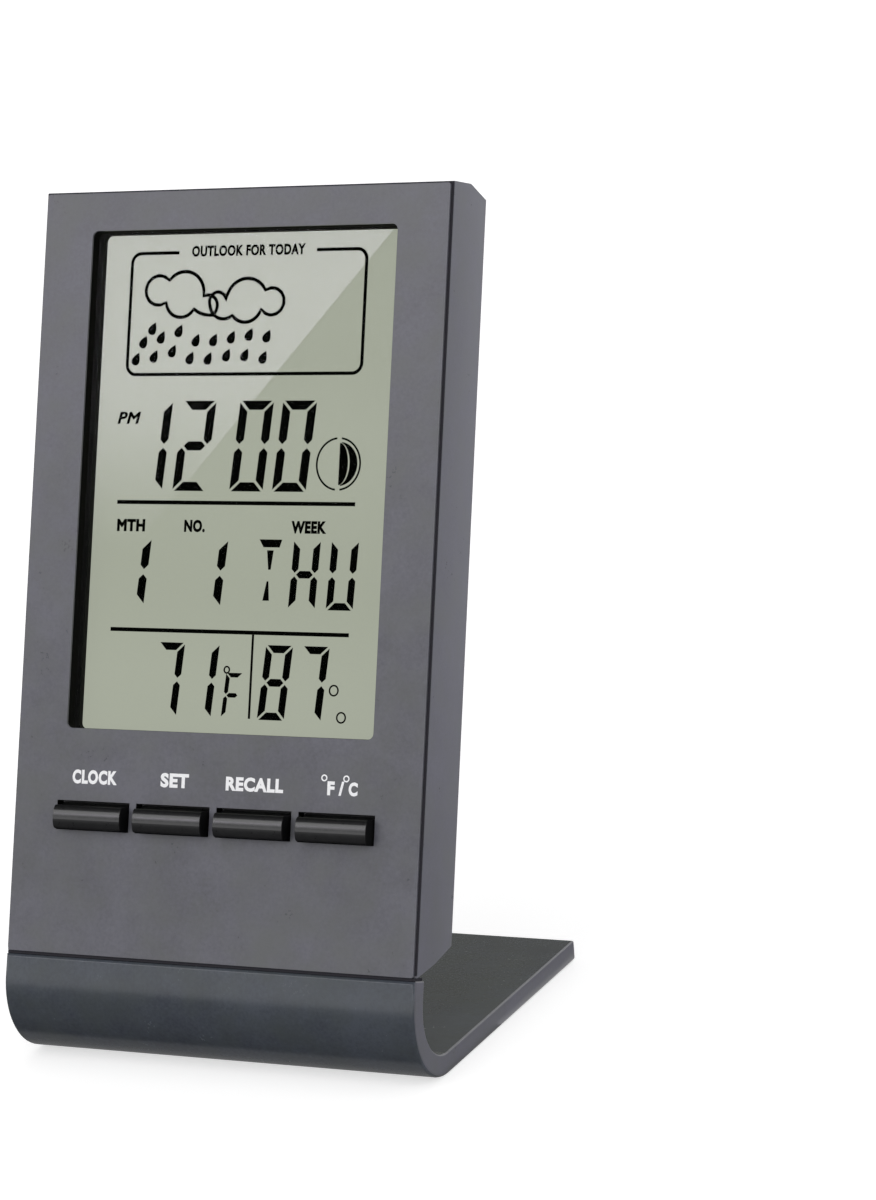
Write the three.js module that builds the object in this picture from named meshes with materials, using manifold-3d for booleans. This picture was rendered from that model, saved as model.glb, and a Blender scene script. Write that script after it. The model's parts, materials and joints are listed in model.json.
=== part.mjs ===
// Desk thermo-hygrometer: a leaning head with a display and four buttons, hinged on a bent stand.
// Millimetres. X to the right, Y to the rear, Z up. The origin is on the ground, under the middle.
import * as THREE from 'three';
import { mergeVertices } from 'three/addons/utils/BufferGeometryUtils.js';
import Module from 'manifold-3d';

const wasm = await Module();
wasm.setup();

// Head
const faceHeight = 119.7;
const leanAngle = 17.58;
const wall = 1.6;
const plate = 2;
const plateInset = 0.4;
const lip = 0.4;
const shadowGap = 0.4;
const rimDepth = 2;
const rimWall = 1.2;
const sideFlat = 6.8;
const sideTaper = 1.1;
const topTaper = 1.5;
const faceCorner = 0.4;
const fit = 0.3;

// Stand
const seamDrop = 19.4;
const seamGap = 0.6;
const sheet = 3.45;
const bendRadius = 11.25;
const footReach = 67.9;

// Stand hinge
const pinRadius = 1.2;
const pinGap = 0.25;
const pinSeat = 1.2;
const pinSkin = 1.15;
const earWall = 1.2;
const earThickness = 3;
const earGap = 0.4;
const earDrop = 5;
const hingeRise = 1.5;
const slotRoom = 1.6;

// Display
const windowSideMargin = 8.8;
const windowTopMargin = 6.4;
const windowCorner = 1;
const lensThickness = 1.2;
const holderLip = 1.1;
const holderWall = 0.7;
const glassOverlap = 0.8;
const glassThickness = 2.2;
const reflectorThickness = 0.4;
const zebraDepth = 2;
const zebraHeight = 2.4;

// Board and its parts
const boardThickness = 1.2;
const partHeight = 1.8;
const chipRadius = 6.5;
const buzzerRadius = 8.5;
const crystalRadius = 0.8;
const crystalLength = 6;
const capacitorRadius = 0.8;
const capacitorLength = 5;
const humidityWidth = 10;
const humidityHeight = 5;
const beadRadius = 0.85;
const partSpacing = 5.5;

// Screws
const screwRadius = 0.8;
const screwHeadRadius = 1.7;
const screwHeadHeight = 1.2;
const bossRadius = 2.1;
const postRadius = 1.65;
const seatFloor = 1.3;
const seatWall = 0.6;
const bossRise = 0.2;
const screwTipGap = 1;
const lowBossDrop = 9.5;
const postLow = 5;
const postHigh = 15;

// Buttons
const buttonHeight = 4.5;
const buttonSpacing = 1.65;
const buttonRowMargin = 0.7;
const buttonProud = 1.8;
const buttonRise = 5.1;
const windowRise = 13.6;
const buttonEndSlope = 0.6;
const buttonGap = 0.25;
const buttonTravel = 0.6;
const flangeOverlap = 0.5;
const flangeRise = 1.2;
const flangeThickness = 1;
const stemRadius = 1.3;
const switchSize = 4.5;
const switchHeight = 3.2;
const plungerRadius = 1.2;
const plungerLength = 1.9;

// Battery and its door
const cellRadius = 5.25;
const cellLength = 44.5;
const nubRadius = 1.9;
const nubLength = 1.2;
const cellFrontGap = 0.9;
const springLength = 1.9;
const springWire = 0.25;
const springTurns = 3;
const contactThickness = 0.4;
const contactHalf = 3.6;
const tailWidth = 1.6;
const tailOverlap = 1.4;
const bayWall = 1;
const doorThickness = 1.5;
const doorTongue = 1.3;
const tongueThickness = 0.7;
const railThickness = 1.2;
const railWidth = 1.6;
const doorTopMargin = 0.7;
const latchHalfWidth = 4;
const latchLength = 1;
const gripCount = 5;
const gripPitch = 1.4;
const gripWidth = 0.6;
const gripHalfLength = 7;
const gripDepth = 0.4;

// Openings in the rear wall
const ventCount = 6;
const ventPitch = 3.4;
const ventSlot = 1.4;
const ventCorner = 0.65;
const ventHalfLength = 10;
const ventDrop = 22;
const soundHoleRadius = 0.8;
const soundRing = 3.4;
const soundHoleCount = 6;

const roundSides = 24;
const smallSides = 12;
// How far a cutting solid runs past the face that it cuts.
const past = 1;

// Derived places. In the head, Y runs back from the face and Z runs up the face from the seam.
const lean = THREE.MathUtils.degToRad(leanAngle);
const caseFront = lip + shadowGap;

// Across the head: half a cell, its spring and contact, the bay's wall, the hinge and the side wall.
const positivePlate = cellLength / 2 + fit;
const springEnd = cellLength / 2 + fit + springLength;
const negativePlate = springEnd + fit;
const bayEnd = negativePlate + contactThickness + fit;
const hingeBlockInner = bayEnd + bayWall;
const slotInner = hingeBlockInner + pinSeat;
const earInner = slotInner + fit;
const earOuter = earInner + earThickness;
const slotOuter = earOuter + fit;
const half = slotOuter + pinSeat + pinSkin + wall;
const windowHalf = half - windowSideMargin;
const buttonRowHalf = windowHalf + buttonRowMargin;
const buttonWidth = (2 * buttonRowHalf - 3 * buttonSpacing) / 4;
const buttonPitch = buttonWidth + buttonSpacing;
const doorHalfWidth = negativePlate + contactThickness;

// From the face to the rear wall.
const lensFront = plate + fit;
const lipFront = lensFront + lensThickness + fit;
const glassFront = lipFront + holderLip + fit;
const glassBack = glassFront + glassThickness;
const boardFront = glassBack + fit + zebraDepth + fit;
const boardBack = boardFront + boardThickness;
const cellStack = plate + cellFrontGap + 2 * cellRadius + fit + doorThickness;
const boardStack = boardBack + fit + partHeight + fit + wall;
const depth = Math.max(cellStack, boardStack);
const rearInner = depth - wall;
const doorFront = depth - doorThickness;
const rimBack = plate + rimDepth;
const rimInset = wall + fit;
const levelSlope = Math.tan(lean);
const slopedWall = wall / Math.cos(lean);
const rimBottom = slopedWall + (rimBack - caseFront) * levelSlope + fit;
const screwInset = wall + sideTaper + bossRadius;
const screwX = half - screwInset;
const bossEnd = boardBack + bossRise;
const seatFront = bossEnd + fit;
const headSeat = seatFront + seatFloor;
const flangeFront = plate + fit;
const switchFront = boardFront - fit - switchHeight;
const plungerFront = switchFront - buttonTravel - fit;

// Up the head: the cell, the shelf over it, the buttons and the window.
const cellY = doorFront - fit - cellRadius;
const floorAtCell = slopedWall + (cellY - caseFront) * levelSlope;
const cellZ = floorAtCell + (cellRadius + fit) / Math.cos(lean);
const shelfBottom = cellZ + cellRadius + fit;
const shelfTop = shelfBottom + bayWall;
const buttonZ = shelfTop + buttonRise;
const windowBottom = buttonZ + windowRise;
const windowTop = faceHeight - windowTopMargin;
const caseScrewHeights = [windowBottom - lowBossDrop, faceHeight - screwInset];
const postHeights = [windowBottom + postLow, windowTop - postHigh];
const boardBottom = shelfTop + 2 * fit;
const boardTop = faceHeight - wall - topTaper - 2 * fit;
const boardHalf = half - wall - sideTaper - fit;
const doorTop = shelfTop + doorTopMargin;
const earRadius = pinRadius + earWall;
const hingeY = plate + earGap + earRadius;
const slotBack = hingeY + earRadius + slotRoom;
const slotTop = hingeRise + earRadius + slotRoom;

// The seam is placed over the stand, and the whole is centred on its base.
const groundLine = -seamDrop * Math.sin(lean);
const seamZ = seamDrop * Math.cos(lean);
const bendY = groundLine + (bendRadius * (1 + Math.sin(lean))) / Math.cos(lean);
const footEnd = groundLine + footReach;
const originY = (bendY - bendRadius + footEnd) / 2;

const colours = {
  case: [0x6a6a70, 0.62, 0],
  stand: [0x55585f, 0.55, 0],
  black: [0x121213, 0.35, 0],
  clear: [0xe8eef0, 0.08, 0],
  display: [0xa3a897, 0.3, 0],
  foil: [0xc4c8c9, 0.25, 0.8],
  rubber: [0x2c2c2e, 0.8, 0],
  board: [0x1f5a36, 0.5, 0],
  resin: [0x0e0e10, 0.45, 0],
  metal: [0xb9bcc0, 0.3, 1],
  steel: [0x8d9196, 0.35, 1],
  brass: [0xc9a94f, 0.35, 1],
  sensor: [0xf0efe8, 0.6, 0],
  cell: [0x2d4a78, 0.4, 0.2],
};

function toSolid(geometry) {
  const bare = geometry.clone();
  bare.deleteAttribute('normal');
  bare.deleteAttribute('uv');
  const merged = mergeVertices(bare, 1e-4);
  return new wasm.Manifold(new wasm.Mesh({
    numProp: 3,
    vertProperties: Float32Array.from(merged.attributes.position.array),
    triVerts: Uint32Array.from(merged.index.array),
  }));
}

function toGeometry(solid) {
  const { vertProperties, triVerts } = solid.getMesh();
  const geometry = new THREE.BufferGeometry();
  geometry.setAttribute('position', new THREE.BufferAttribute(Float32Array.from(vertProperties), 3));
  geometry.setIndex(new THREE.BufferAttribute(Uint32Array.from(triVerts), 1));
  geometry.computeVertexNormals();
  return geometry;
}

function box(x, y, z) {
  const geometry = new THREE.BoxGeometry(x[1] - x[0], y[1] - y[0], z[1] - z[0]);
  geometry.translate((x[0] + x[1]) / 2, (y[0] + y[1]) / 2, (z[0] + z[1]) / 2);
  return toSolid(geometry);
}

// A rod along Y, from y[0] to y[1].
function rodY(radius, x, y, z, sides = roundSides) {
  const geometry = new THREE.CylinderGeometry(radius, radius, y[1] - y[0], sides);
  geometry.translate(x, (y[0] + y[1]) / 2, z);
  return toSolid(geometry);
}

// A rod along X, from x[0] to x[1].
function rodX(radius, x, y, z, sides = roundSides) {
  const geometry = new THREE.CylinderGeometry(radius, radius, x[1] - x[0], sides);
  geometry.rotateZ(Math.PI / 2);
  geometry.translate((x[0] + x[1]) / 2, y, z);
  return toSolid(geometry);
}

// A side view in Y and Z, carried along X.
function alongX(shape, x) {
  const options = { depth: x[1] - x[0], bevelEnabled: false, curveSegments: 10 };
  const geometry = new THREE.ExtrudeGeometry(shape, options);
  const turn = new THREE.Matrix4().makeBasis(
    new THREE.Vector3(0, 1, 0),
    new THREE.Vector3(0, 0, 1),
    new THREE.Vector3(1, 0, 0),
  );
  geometry.applyMatrix4(turn);
  geometry.translate(x[0], 0, 0);
  return toSolid(geometry);
}

// A front view in X and Z, carried back along Y.
function alongY(shape, y) {
  const options = { depth: y[1] - y[0], bevelEnabled: false, curveSegments: 4 };
  const geometry = new THREE.ExtrudeGeometry(shape, options);
  const turn = new THREE.Matrix4().makeBasis(
    new THREE.Vector3(1, 0, 0),
    new THREE.Vector3(0, 0, 1),
    new THREE.Vector3(0, -1, 0),
  );
  geometry.applyMatrix4(turn);
  geometry.translate(0, y[1], 0);
  return toSolid(geometry);
}

// A plan in X and Y, carried up Z.
function alongZ(shape, z) {
  const options = { depth: z[1] - z[0], bevelEnabled: false, curveSegments: 4 };
  const geometry = new THREE.ExtrudeGeometry(shape, options);
  geometry.translate(0, 0, z[0]);
  return toSolid(geometry);
}

function outline(points) {
  return new THREE.Shape(points.map(([a, b]) => new THREE.Vector2(a, b)));
}

function roundedRectangle(x, z, radius) {
  const shape = new THREE.Shape();
  shape.moveTo(x[0] + radius, z[0]);
  shape.lineTo(x[1] - radius, z[0]);
  shape.absarc(x[1] - radius, z[0] + radius, radius, -Math.PI / 2, 0);
  shape.lineTo(x[1], z[1] - radius);
  shape.absarc(x[1] - radius, z[1] - radius, radius, 0, Math.PI / 2);
  shape.lineTo(x[0] + radius, z[1]);
  shape.absarc(x[0] + radius, z[1] - radius, radius, Math.PI / 2, Math.PI);
  shape.lineTo(x[0], z[0] + radius);
  shape.absarc(x[0] + radius, z[0] + radius, radius, Math.PI, 1.5 * Math.PI);
  return shape;
}

const join = (...solids) => solids.reduce((all, solid) => all.add(solid));
const cut = (solid, ...tools) => tools.reduce((rest, tool) => rest.subtract(tool), solid);
const bothSides = [-1, 1];

// A span from a to b on the given side of the middle.
function sideSpan(side, a, b) {
  return side < 0 ? [-b, -a] : [a, b];
}

function mesh(name, solid, colour) {
  const [color, roughness, metalness] = colours[colour];
  const material = new THREE.MeshStandardMaterial({ color, roughness, metalness, flatShading: true });
  if (colour === 'clear') {
    material.transparent = true;
    material.opacity = 0.25;
  }
  const piece = new THREE.Mesh(toGeometry(solid), material);
  piece.name = name;
  return piece;
}

// Seam point and directions of the leaning face, seen from the side.
function onFace(y, z) {
  return [
    y * Math.cos(lean) + z * Math.sin(lean),
    seamZ - y * Math.sin(lean) + z * Math.cos(lean),
  ];
}

// One sheet, bent from the flat foot up into the short leaning upright.
function standSheet() {
  const top = -seamGap;
  const shape = new THREE.Shape();
  const frontTop = onFace(0, top);
  const backTop = onFace(sheet, top);
  shape.moveTo(backTop[0], backTop[1]);
  shape.lineTo(frontTop[0], frontTop[1]);
  shape.absarc(bendY, bendRadius, bendRadius, Math.PI - lean, 1.5 * Math.PI, false);
  shape.lineTo(footEnd, 0);
  shape.lineTo(footEnd, sheet);
  shape.absarc(bendY, bendRadius, bendRadius - sheet, 1.5 * Math.PI, Math.PI - lean, true);
  return alongX(shape, [-half, half]);
}

// The round-headed ear that carries a hinge pin, drawn in the head's own directions.
function standEar(side) {
  const rootY = sheet - earGap;
  const rootTop = [rootY, -seamGap];
  const rootLow = [rootY, -seamGap - earDrop];
  const away = [rootLow[0] - hingeY, rootLow[1] - hingeRise];
  const reach = Math.hypot(away[0], away[1]);
  const turn = Math.atan2(away[1], away[0]) + Math.acos(earRadius / reach);
  const tangent = [hingeY + earRadius * Math.cos(turn), hingeRise + earRadius * Math.sin(turn)];
  const span = sideSpan(side, earInner, earOuter);
  const web = [rootTop, rootLow, tangent, [hingeY, hingeRise]].map(([y, z]) => onFace(y, z));
  const [y, z] = onFace(hingeY, hingeRise);
  const head = rodX(earRadius, span, y, z);
  const hole = rodX(pinRadius + pinGap, [span[0] - past, span[1] + past], y, z);
  return { body: join(head, alongX(outline(web), span)), hole };
}

function stand() {
  const ears = bothSides.map(standEar);
  return ears.reduce((solid, ear) => solid.add(ear.body).subtract(ear.hole), standSheet());
}

function hingePin(side) {
  const [y, z] = onFace(hingeY, hingeRise);
  return rodX(pinRadius, sideSpan(side, hingeBlockInner + fit, slotOuter + pinSeat - fit), y, z);
}

function buttonCentres() {
  return [-1.5, -0.5, 0.5, 1.5].map((step) => step * buttonPitch);
}

// Plate with its window and button slots, an inner rim, four case bosses and four board posts.
function frontBezel() {
  const reachOfFace = half - plateInset;
  const faceOutline = roundedRectangle([-reachOfFace, reachOfFace], [0, faceHeight - plateInset], faceCorner);
  const face = alongY(faceOutline, [0, lip]);
  const inner = half - rimInset;
  const innerTop = faceHeight - rimInset;
  const body = box([-inner, inner], [lip, plate], [rimBottom, innerTop]);
  const rim = cut(
    box([-inner, inner], [plate, rimBack], [rimBottom, innerTop]),
    box([rimWall - inner, inner - rimWall], [lip, rimBack + past], [rimBottom + rimWall, innerTop - rimWall]),
  );
  const hingeRoom = bothSides.map((side) => box(
    sideSpan(side, bayEnd - fit, half),
    [plate, rimBack + past],
    [0, slotTop + bayWall + fit],
  ));
  const pilot = screwRadius + pinGap;
  let solid = join(face, body, cut(rim, ...hingeRoom));
  for (const side of bothSides) {
    for (const z of caseScrewHeights) {
      solid = solid.add(rodY(bossRadius, side * screwX, [lip, bossEnd], z));
      solid = solid.subtract(rodY(pilot, side * screwX, [rimBack, bossEnd + past], z));
    }
    for (const z of postHeights) {
      solid = solid.add(rodY(postRadius, side * screwX, [lip, boardFront - fit], z));
      solid = solid.subtract(rodY(pilot, side * screwX, [rimBack, boardFront], z));
    }
  }
  const opening = roundedRectangle([-windowHalf, windowHalf], [windowBottom, windowTop], windowCorner);
  solid = solid.subtract(alongY(opening, [-past, plate + past]));
  const reach = buttonWidth / 2 + buttonGap;
  const rise = [buttonZ - buttonHeight / 2 - buttonGap, buttonZ + buttonHeight / 2 + buttonGap];
  for (const x of buttonCentres()) {
    solid = solid.subtract(box([x - reach, x + reach], [-past, plate + past], rise));
  }
  return solid;
}

// Half width and top of the rear case at a depth behind the face, where it tapers.
function taperAt(y) {
  return Math.max(0, y - sideFlat) / (depth - sideFlat);
}

function caseShell(inset, front, back) {
  const floor = (y) => (y - caseFront) * levelSlope + (inset > 0 ? slopedWall : 0);
  const top = (y) => faceHeight - inset - topTaper * taperAt(y);
  const side = (y) => half - inset - sideTaper * taperAt(y);
  const sideView = outline([
    [front, floor(front)],
    [back, floor(back)],
    [back, top(back)],
    [sideFlat, top(sideFlat)],
    [front, top(front)],
  ]);
  const plan = outline([
    [-side(front), front],
    [side(front), front],
    [side(sideFlat), sideFlat],
    [side(back), back],
    [-side(back), back],
    [-side(sideFlat), sideFlat],
  ]);
  const body = alongX(sideView, [-half, half]);
  return body.intersect(alongZ(plan, [-past, faceHeight + past]));
}

const caseOuter = caseShell(0, caseFront, depth);

function rearCase() {
  let solid = cut(caseOuter, caseShell(wall, caseFront - past, rearInner));
  const shelfSpan = [-hingeBlockInner, positivePlate + contactThickness + fit + bayWall];
  const bayDepth = [rimBack + fit, doorFront - fit];
  const added = [
    box(shelfSpan, bayDepth, [shelfBottom, shelfTop]),
    box([shelfSpan[0], shelfSpan[0] + bayWall], bayDepth, [0, shelfTop]),
    box([shelfSpan[1] - bayWall, shelfSpan[1]], bayDepth, [0, shelfTop]),
  ];
  for (const side of bothSides) {
    const block = sideSpan(side, bayEnd, half);
    added.push(box(block, [plate + fit, slotBack + bayWall], [0, slotTop + bayWall]));
    const rail = sideSpan(side, doorHalfWidth + fit, doorHalfWidth + doorTongue + fit + railWidth);
    added.push(box(rail, [doorFront - fit - railThickness, depth], [0, doorTop + fit]));
    for (const z of caseScrewHeights) {
      added.push(rodY(screwHeadRadius + fit + seatWall, side * screwX, [seatFront, depth], z));
    }
  }
  solid = solid.add(added.reduce((all, piece) => all.add(piece)).intersect(caseOuter));
  for (const side of bothSides) {
    const slot = sideSpan(side, slotInner, slotOuter);
    const bore = sideSpan(side, hingeBlockInner, slotOuter + pinSeat);
    solid = solid.subtract(box(slot, [caseFront - past, slotBack], [-past, slotTop]));
    solid = solid.subtract(rodX(pinRadius + pinGap, bore, hingeY, hingeRise));
    for (const z of caseScrewHeights) {
      solid = solid.subtract(rodY(screwRadius + pinGap, side * screwX, [seatFront - past, depth], z));
      solid = solid.subtract(rodY(screwHeadRadius + fit, side * screwX, [headSeat, depth + past], z));
    }
  }
  const doorRoom = doorHalfWidth + fit;
  const grooveRoom = doorHalfWidth + doorTongue + fit;
  const latchRoom = latchHalfWidth + fit;
  const groove = [doorFront - fit, doorFront + tongueThickness + fit];
  solid = cut(
    solid,
    box([-doorRoom, doorRoom], [doorFront - fit, depth + past], [-past, doorTop + fit]),
    box([-grooveRoom, grooveRoom], groove, [-past, doorTop + fit]),
    box([-latchRoom, latchRoom], [rearInner - past, groove[1]], [doorTop, doorTop + latchLength + fit]),
    tailSlot(-negativePlate - contactThickness, -negativePlate),
    tailSlot(positivePlate, positivePlate + contactThickness),
  );
  for (let row = 0; row < ventCount; row += 1) {
    const z = faceHeight - ventDrop - row * ventPitch;
    const rise = [z - ventSlot / 2, z + ventSlot / 2];
    const slot = roundedRectangle([-ventHalfLength, ventHalfLength], rise, ventCorner);
    solid = solid.subtract(alongY(slot, [rearInner - past, depth + past]));
  }
  for (const [x, z] of soundHoles()) {
    solid = solid.subtract(rodY(soundHoleRadius, x, [rearInner - past, depth + past], z, smallSides));
  }
  return solid;
}

// Room in the bay's shelf for a contact's tail.
function tailSlot(from, to) {
  const y = tailPlace();
  return box([from - fit, to + fit], [y[0] - fit, y[1] + fit], [shelfBottom - past, shelfTop + past]);
}

function tailPlace() {
  return [boardFront - fit - tailWidth, boardFront - fit];
}

const buzzerZ = windowBottom + buzzerRadius;

function soundHoles() {
  const ring = Array.from({ length: soundHoleCount }, (_, i) => (i * 2 * Math.PI) / soundHoleCount);
  const around = ring.map((turn) => [soundRing * Math.cos(turn), buzzerZ + soundRing * Math.sin(turn)]);
  return [[0, buzzerZ], ...around];
}

function batteryDoor() {
  const panel = box([-doorHalfWidth, doorHalfWidth], [doorFront, depth], [0, doorTop]);
  const reach = doorHalfWidth + doorTongue;
  const tongues = box([-reach, reach], [doorFront, doorFront + tongueThickness], [0, doorTop]);
  const latchZ = [doorTop - latchLength, doorTop + latchLength];
  const latch = box([-latchHalfWidth, latchHalfWidth], [doorFront, doorFront + tongueThickness], latchZ);
  let solid = join(panel, tongues, latch).intersect(caseOuter);
  for (let row = 0; row < gripCount; row += 1) {
    const z = doorTop - 3 * gripPitch - row * gripPitch;
    const groove = [z - gripWidth / 2, z + gripWidth / 2];
    solid = solid.subtract(box([-gripHalfLength, gripHalfLength], [depth - gripDepth, depth + past], groove));
  }
  return solid;
}

function displayWindow() {
  const reach = windowHalf + glassOverlap;
  const rise = [windowBottom - glassOverlap, windowTop + glassOverlap];
  const shape = roundedRectangle([-reach, reach], rise, windowCorner);
  return alongY(shape, [lensFront, lensFront + lensThickness]);
}

function lcdHolder() {
  const pocket = windowHalf + glassOverlap + fit;
  const outer = pocket + holderWall;
  const low = windowBottom - glassOverlap - fit;
  const high = windowTop + glassOverlap + fit;
  const rise = [low - holderWall, high + holderWall];
  const shell = box([-outer, outer], [lensFront, boardFront - fit], rise);
  const opening = roundedRectangle([-windowHalf, windowHalf], [windowBottom, windowTop], windowCorner);
  const bosses = bothSides.map((side) => rodY(
    bossRadius + fit,
    side * screwX,
    [plate, boardFront],
    caseScrewHeights[1],
  ));
  return cut(
    shell,
    box([-pocket, pocket], [plate, lipFront], [low, high]),
    box([-pocket, pocket], [lipFront + holderLip, boardFront], [low, high]),
    alongY(opening, [plate, boardFront]),
    ...bosses,
  );
}

function lcdGlass() {
  const reach = windowHalf + glassOverlap;
  const rise = [windowBottom - glassOverlap, windowTop + glassOverlap];
  return box([-reach, reach], [glassFront, glassBack], rise);
}

function zebraPlace() {
  const low = windowBottom - glassOverlap;
  return [low, low + zebraHeight];
}

function zebraConnector() {
  return box([fit - windowHalf, windowHalf - fit], [glassBack + fit, boardFront - fit], zebraPlace());
}

function lcdReflector() {
  const reach = windowHalf + glassOverlap;
  const y = [glassBack + fit, glassBack + fit + reflectorThickness];
  return box([-reach, reach], y, [zebraPlace()[1] + fit, windowTop + glassOverlap]);
}

function circuitBoard() {
  let solid = box([-boardHalf, boardHalf], [boardFront, boardBack], [boardBottom, boardTop]);
  const through = [boardFront - past, boardBack + past];
  for (const side of bothSides) {
    for (const z of caseScrewHeights) {
      solid = solid.subtract(rodY(bossRadius + fit, side * screwX, through, z));
      const edge = sideSpan(side, screwX, half);
      const room = bossRadius + fit;
      solid = solid.subtract(box(edge, through, [z - room, z + room]));
    }
    for (const z of postHeights) {
      solid = solid.subtract(rodY(screwRadius + pinGap, side * screwX, through, z));
    }
  }
  return solid;
}

// A pan-head screw along Y with a cross recess. Its head lies at the rear.
function screw(x, z, seat, length) {
  const shank = rodY(screwRadius, x, [seat - length, seat + 0.1], z, 12);
  const head = rodY(screwHeadRadius, x, [seat, seat + screwHeadHeight], z, 18);
  const arm = screwHeadRadius * 0.6;
  const slit = screwHeadRadius * 0.12;
  const recess = [seat + screwHeadHeight * 0.5, seat + screwHeadHeight + 1];
  return cut(
    join(shank, head),
    box([x - arm, x + arm], recess, [z - slit, z + slit]),
    box([x - slit, x + slit], recess, [z - arm, z + arm]),
  );
}

function button(x) {
  const rise = buttonHeight / 2;
  const reach = buttonWidth / 2;
  const bow = new THREE.Shape();
  bow.moveTo(plate, -rise);
  bow.lineTo(plate, rise);
  bow.lineTo(0, rise);
  bow.absellipse(0, 0, buttonProud, rise, Math.PI / 2, 1.5 * Math.PI, false, 0);
  const bar = alongX(bow, [-reach, reach]);
  const plan = alongZ(outline([
    [-reach, plate],
    [-reach, 0],
    [buttonEndSlope - reach, -buttonProud],
    [reach - buttonEndSlope, -buttonProud],
    [reach, 0],
    [reach, plate],
  ]), [-rise - past, rise + past]);
  const flangeReach = reach + flangeOverlap;
  const flangeHalf = rise + flangeRise;
  const flange = [flangeFront, flangeFront + flangeThickness];
  const solid = join(
    bar.intersect(plan),
    box([-reach, reach], [plate - 0.1, flangeFront + 0.1], [-rise, rise]),
    box([-flangeReach, flangeReach], flange, [-flangeHalf, flangeHalf]),
    rodY(stemRadius, 0, [flange[1] - 0.1, plungerFront - fit], 0),
  );
  return solid.translate([x, 0, buttonZ]);
}

function tactSwitch(x) {
  const size = switchSize / 2;
  const body = box([x - size, x + size], [switchFront, boardFront - fit], [buttonZ - size, buttonZ + size]);
  const end = plungerFront + plungerLength + buttonTravel + fit;
  return cut(body, rodY(plungerRadius + fit, x, [switchFront - past, end], buttonZ));
}

function plunger(x) {
  return rodY(plungerRadius, x, [plungerFront, plungerFront + plungerLength], buttonZ);
}

function batteryCell() {
  const end = cellLength / 2;
  const body = rodX(cellRadius, [-end, end - nubLength], cellY, cellZ, 32);
  return join(body, rodX(nubRadius, [end - nubLength - 0.1, end], cellY, cellZ, 16));
}

// Round wire wound into a cone, wide at the contact and narrow at the cell.
class SpringCurve extends THREE.Curve {
  getPoint(t) {
    const turn = t * springTurns * 2 * Math.PI;
    const radius = THREE.MathUtils.lerp(contactHalf - springWire, nubRadius, t);
    const x = THREE.MathUtils.lerp(springWire - springEnd, -cellLength / 2 - fit - springWire, t);
    return new THREE.Vector3(x, cellY + radius * Math.cos(turn), cellZ + radius * Math.sin(turn));
  }
}

function batterySpring() {
  const ring = Array.from({ length: 6 }, (_, i) => {
    const turn = (i * Math.PI) / 3;
    return [springWire * Math.cos(turn), springWire * Math.sin(turn)];
  });
  const options = { steps: springTurns * 14, extrudePath: new SpringCurve(), bevelEnabled: false };
  return toSolid(new THREE.ExtrudeGeometry(outline(ring), options));
}

// A flat spring plate at one end of the bay, with a tail up to the board.
function contact(from, to) {
  const across = [cellY - contactHalf, cellY + contactHalf];
  const face = box([from, to], across, [cellZ - contactHalf, shelfBottom - fit]);
  const neck = box([from, to], tailPlace(), [cellZ, boardBottom + tailOverlap]);
  return join(face, neck);
}

// A shallow dome of resin over the controller.
function controllerChip() {
  const points = [[0, 0], [chipRadius, 0], [chipRadius, partHeight * 0.3]];
  for (const share of [0.9, 0.7, 0.4]) {
    points.push([chipRadius * share, partHeight * (0.3 + 0.7 * Math.sqrt(1 - share * share))]);
  }
  points.push([0, partHeight]);
  const geometry = new THREE.LatheGeometry(points.map(([x, y]) => new THREE.Vector2(x, y)), roundSides);
  geometry.translate(0, partsY, chipZ);
  return toSolid(geometry);
}

const partsY = boardBack + fit;
const ventMiddle = faceHeight - ventDrop - ((ventCount - 1) * ventPitch) / 2;

const chipZ = (windowBottom + windowTop) / 2;
const beside = chipRadius + partSpacing;

// A small can that lies along Z on the board, level with the chip.
function lyingCan(x, radius, length) {
  const geometry = new THREE.CylinderGeometry(radius, radius, length, 12);
  geometry.rotateX(Math.PI / 2);
  geometry.translate(x, partsY + radius, chipZ);
  return toSolid(geometry);
}

function humiditySensor() {
  const x = [-humidityWidth - fit, -fit];
  const z = [ventMiddle - humidityHeight / 2, ventMiddle + humidityHeight / 2];
  return box(x, [partsY, partsY + partHeight - fit], z);
}

function temperatureSensor() {
  const geometry = new THREE.CapsuleGeometry(beadRadius, beadRadius * 2, 4, 12);
  geometry.rotateX(Math.PI / 2);
  geometry.translate(humidityWidth / 2, partsY + beadRadius, ventMiddle);
  return toSolid(geometry);
}

function buzzer() {
  return rodY(buzzerRadius, 0, [partsY, partsY + partHeight], buzzerZ);
}

// Everything that stays together in the leaning head, drawn upright and then leaned back.
const head = new THREE.Group();
head.position.set(0, 0, seamZ);
head.rotation.x = -lean;

head.add(mesh('front_bezel', frontBezel(), 'case'));
head.add(mesh('rear_case', rearCase(), 'case'));
head.add(mesh('display_window', displayWindow(), 'clear'));
head.add(mesh('lcd_holder', lcdHolder(), 'black'));
head.add(mesh('lcd_glass', lcdGlass(), 'display'));
head.add(mesh('lcd_reflector', lcdReflector(), 'foil'));
head.add(mesh('zebra_connector', zebraConnector(), 'rubber'));
head.add(mesh('circuit_board', circuitBoard(), 'board'));
head.add(mesh('controller_chip', controllerChip(), 'resin'));
head.add(mesh('quartz_crystal', lyingCan(beside, crystalRadius, crystalLength), 'metal'));
head.add(mesh('filter_capacitor', lyingCan(-beside, capacitorRadius, capacitorLength), 'brass'));
head.add(mesh('reset_capacitor', lyingCan(-beside - partSpacing, capacitorRadius, capacitorLength), 'brass'));
head.add(mesh('humidity_sensor', humiditySensor(), 'sensor'));
head.add(mesh('temperature_sensor', temperatureSensor(), 'resin'));
head.add(mesh('alarm_buzzer', buzzer(), 'brass'));
head.add(mesh('battery_cell', batteryCell(), 'cell'));
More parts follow.
